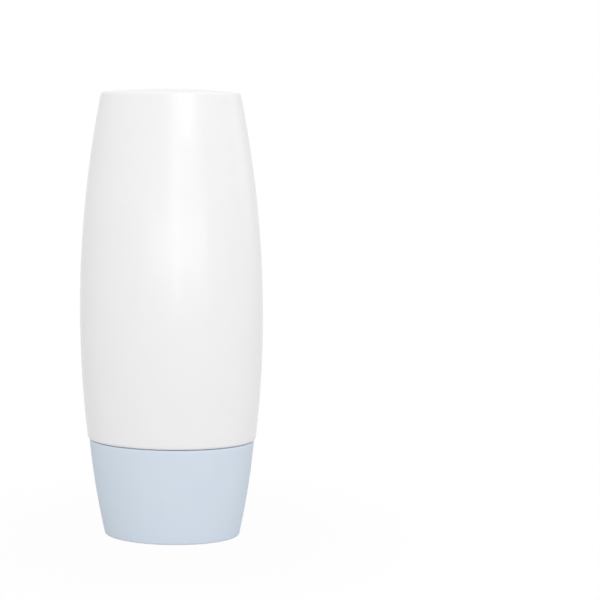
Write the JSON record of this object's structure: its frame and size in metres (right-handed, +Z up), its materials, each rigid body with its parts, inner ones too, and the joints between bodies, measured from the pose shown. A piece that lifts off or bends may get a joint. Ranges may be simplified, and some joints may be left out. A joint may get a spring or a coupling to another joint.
{
  "type": "sunscreen bottle",
  "caption": "Oval squeeze bottle that stands upside down on its tapered oval screw cap, with a nozzle plug in its neck and a loose mixing ball inside.",
  "frame": {"origin": "centre of the cap's foot, on the surface that the bottle stands on", "axes": "+Z up through the neck to the crown, X along the width and Y along the depth, with the broad faces towards -Y and +Y"},
  "size_m": [0.045, 0.028, 0.11],
  "materials": {
    "bottle_white": "satin white blow-moulded polyethylene",
    "plug_natural": "natural low-density polyethylene, slightly waxy",
    "ball_steel": "polished stainless steel",
    "liner_foam": "fine expanded polyethylene foam",
    "inner_cap_white": "white moulded polypropylene",
    "outer_cap_blue": "pale blue satin moulded polypropylene"
  },
  "bodies": {
    "cap": {"outer_cap": "outer_cap_blue", "inner_cap": "inner_cap_white"},
    "liner": {"cap_liner": "liner_foam"},
    "bottle": {"bottle": "bottle_white", "nozzle_plug": "plug_natural"},
    "ball": {"mixing_ball": "ball_steel"}
  },
  "joints": [
    {"name": "cap_turn", "type": "hinge", "parent": "cap", "child": "liner", "pos_m": [0, 0, 0.0125], "axis": [0, 0, 1], "range_deg": [0, 720]},
    {"name": "cap_rise", "type": "slide", "parent": "liner", "child": "bottle", "axis": [0, 0, 1], "range_m": [0, 0.012]},
    {"name": "ball_travel", "type": "slide", "parent": "bottle", "child": "ball", "axis": [0, 0, 1], "range_m": [0, 0.084]}
  ],
  "couplings": [
    {"joint": "cap_rise", "follows": "cap_turn", "m_per_rad": 0.00095493}
  ]
}
